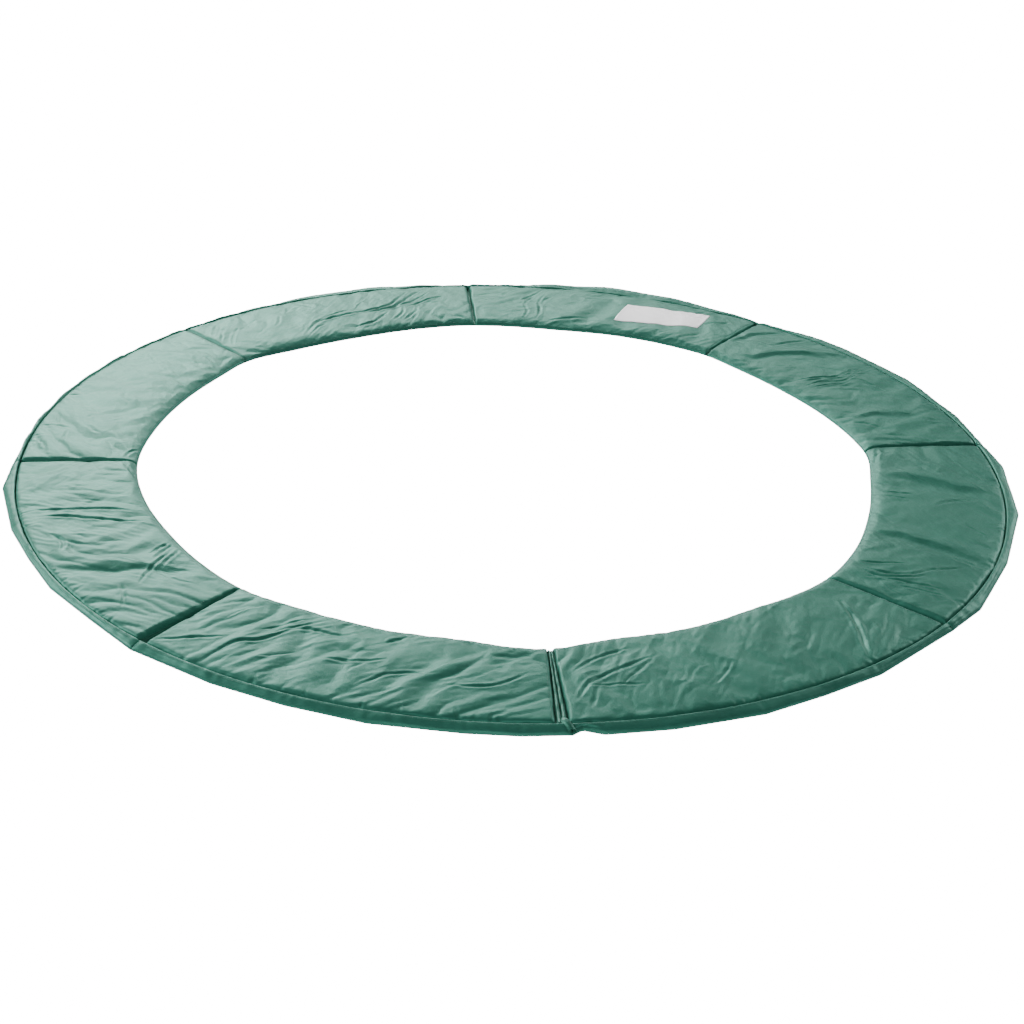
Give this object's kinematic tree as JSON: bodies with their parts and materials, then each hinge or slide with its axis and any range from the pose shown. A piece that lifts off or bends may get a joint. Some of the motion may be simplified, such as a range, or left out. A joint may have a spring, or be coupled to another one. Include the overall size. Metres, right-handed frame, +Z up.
{
  "type": "trampoline safety pad",
  "caption": "Round padded spring cover for a garden trampoline: foam-filled green panels sewn into a flat ring with an outer skirt; folds in half and in quarters.",
  "frame": {"origin": "centre of the ring, on the surface that it lies on", "axes": "+Z up, away from the surface; +Y towards the seam between the eighth and first panels; panels are numbered clockwise seen from above"},
  "size_m": [2.5012, 2.4883, 0.0247],
  "materials": {
    "cover_fabric": "satin coated green fabric, softly wrinkled",
    "skirt_fabric": "satin coated green fabric",
    "web_fabric": "green coated fabric, stitched",
    "base_sheet": "woven backing sheet",
    "foam": "closed-cell foam",
    "elastic": "woven elastic",
    "label": "plain white woven patch"
  },
  "bodies": {
    "back_right": {"panel_1_cover": "cover_fabric", "panel_1_foam": "foam", "panel_1_base": "base_sheet", "panel_1_skirt": "skirt_fabric", "panel_1_loops": "elastic", "panel_2_cover": "cover_fabric", "panel_2_foam": "foam", "panel_2_base": "base_sheet", "panel_2_skirt": "skirt_fabric", "panel_2_loops": "elastic", "fold_web_1_on_panel_1": "web_fabric", "seam_web_2": "web_fabric", "fold_web_3_on_panel_2": "web_fabric", "label_patch": "label"},
    "front_right": {"panel_3_cover": "cover_fabric", "panel_3_foam": "foam", "panel_3_base": "base_sheet", "panel_3_skirt": "skirt_fabric", "panel_3_loops": "elastic", "panel_4_cover": "cover_fabric", "panel_4_foam": "foam", "panel_4_base": "base_sheet", "panel_4_skirt": "skirt_fabric", "panel_4_loops": "elastic", "fold_web_3_on_panel_3": "web_fabric", "seam_web_4": "web_fabric", "join_strip_right": "web_fabric"},
    "front_left": {"panel_5_cover": "cover_fabric", "panel_5_foam": "foam", "panel_5_base": "base_sheet", "panel_5_skirt": "skirt_fabric", "panel_5_loops": "elastic", "panel_6_cover": "cover_fabric", "panel_6_foam": "foam", "panel_6_base": "base_sheet", "panel_6_skirt": "skirt_fabric", "panel_6_loops": "elastic", "join_strip_left": "web_fabric", "seam_web_6": "web_fabric", "fold_web_7_on_panel_6": "web_fabric"},
    "back_left": {"panel_7_cover": "cover_fabric", "panel_7_foam": "foam", "panel_7_base": "base_sheet", "panel_7_skirt": "skirt_fabric", "panel_7_loops": "elastic", "panel_8_cover": "cover_fabric", "panel_8_foam": "foam", "panel_8_base": "base_sheet", "panel_8_skirt": "skirt_fabric", "panel_8_loops": "elastic", "fold_web_7_on_panel_7": "web_fabric", "seam_web_8": "web_fabric", "fold_web_1_on_panel_8": "web_fabric"}
  },
  "joints": [
    {"name": "front_half_fold", "type": "hinge", "parent": "back_right", "child": "front_right", "pos_m": [1.075, 0, 0.028], "axis": [-1, 0, 0], "range_deg": [0, 180]},
    {"name": "left_half_fold", "type": "hinge", "parent": "back_right", "child": "back_left", "pos_m": [0, 1.075, -0.00025], "axis": [0, -1, 0], "range_deg": [0, 180]},
    {"name": "front_half_fold_left", "type": "hinge", "parent": "back_left", "child": "front_left", "pos_m": [-1.075, 0, 0.028], "axis": [-1, 0, 0], "range_deg": [0, 180]}
  ],
  "couplings": [
    {"joint": "front_half_fold_left", "follows": "front_half_fold", "ratio": 1}
  ]
}
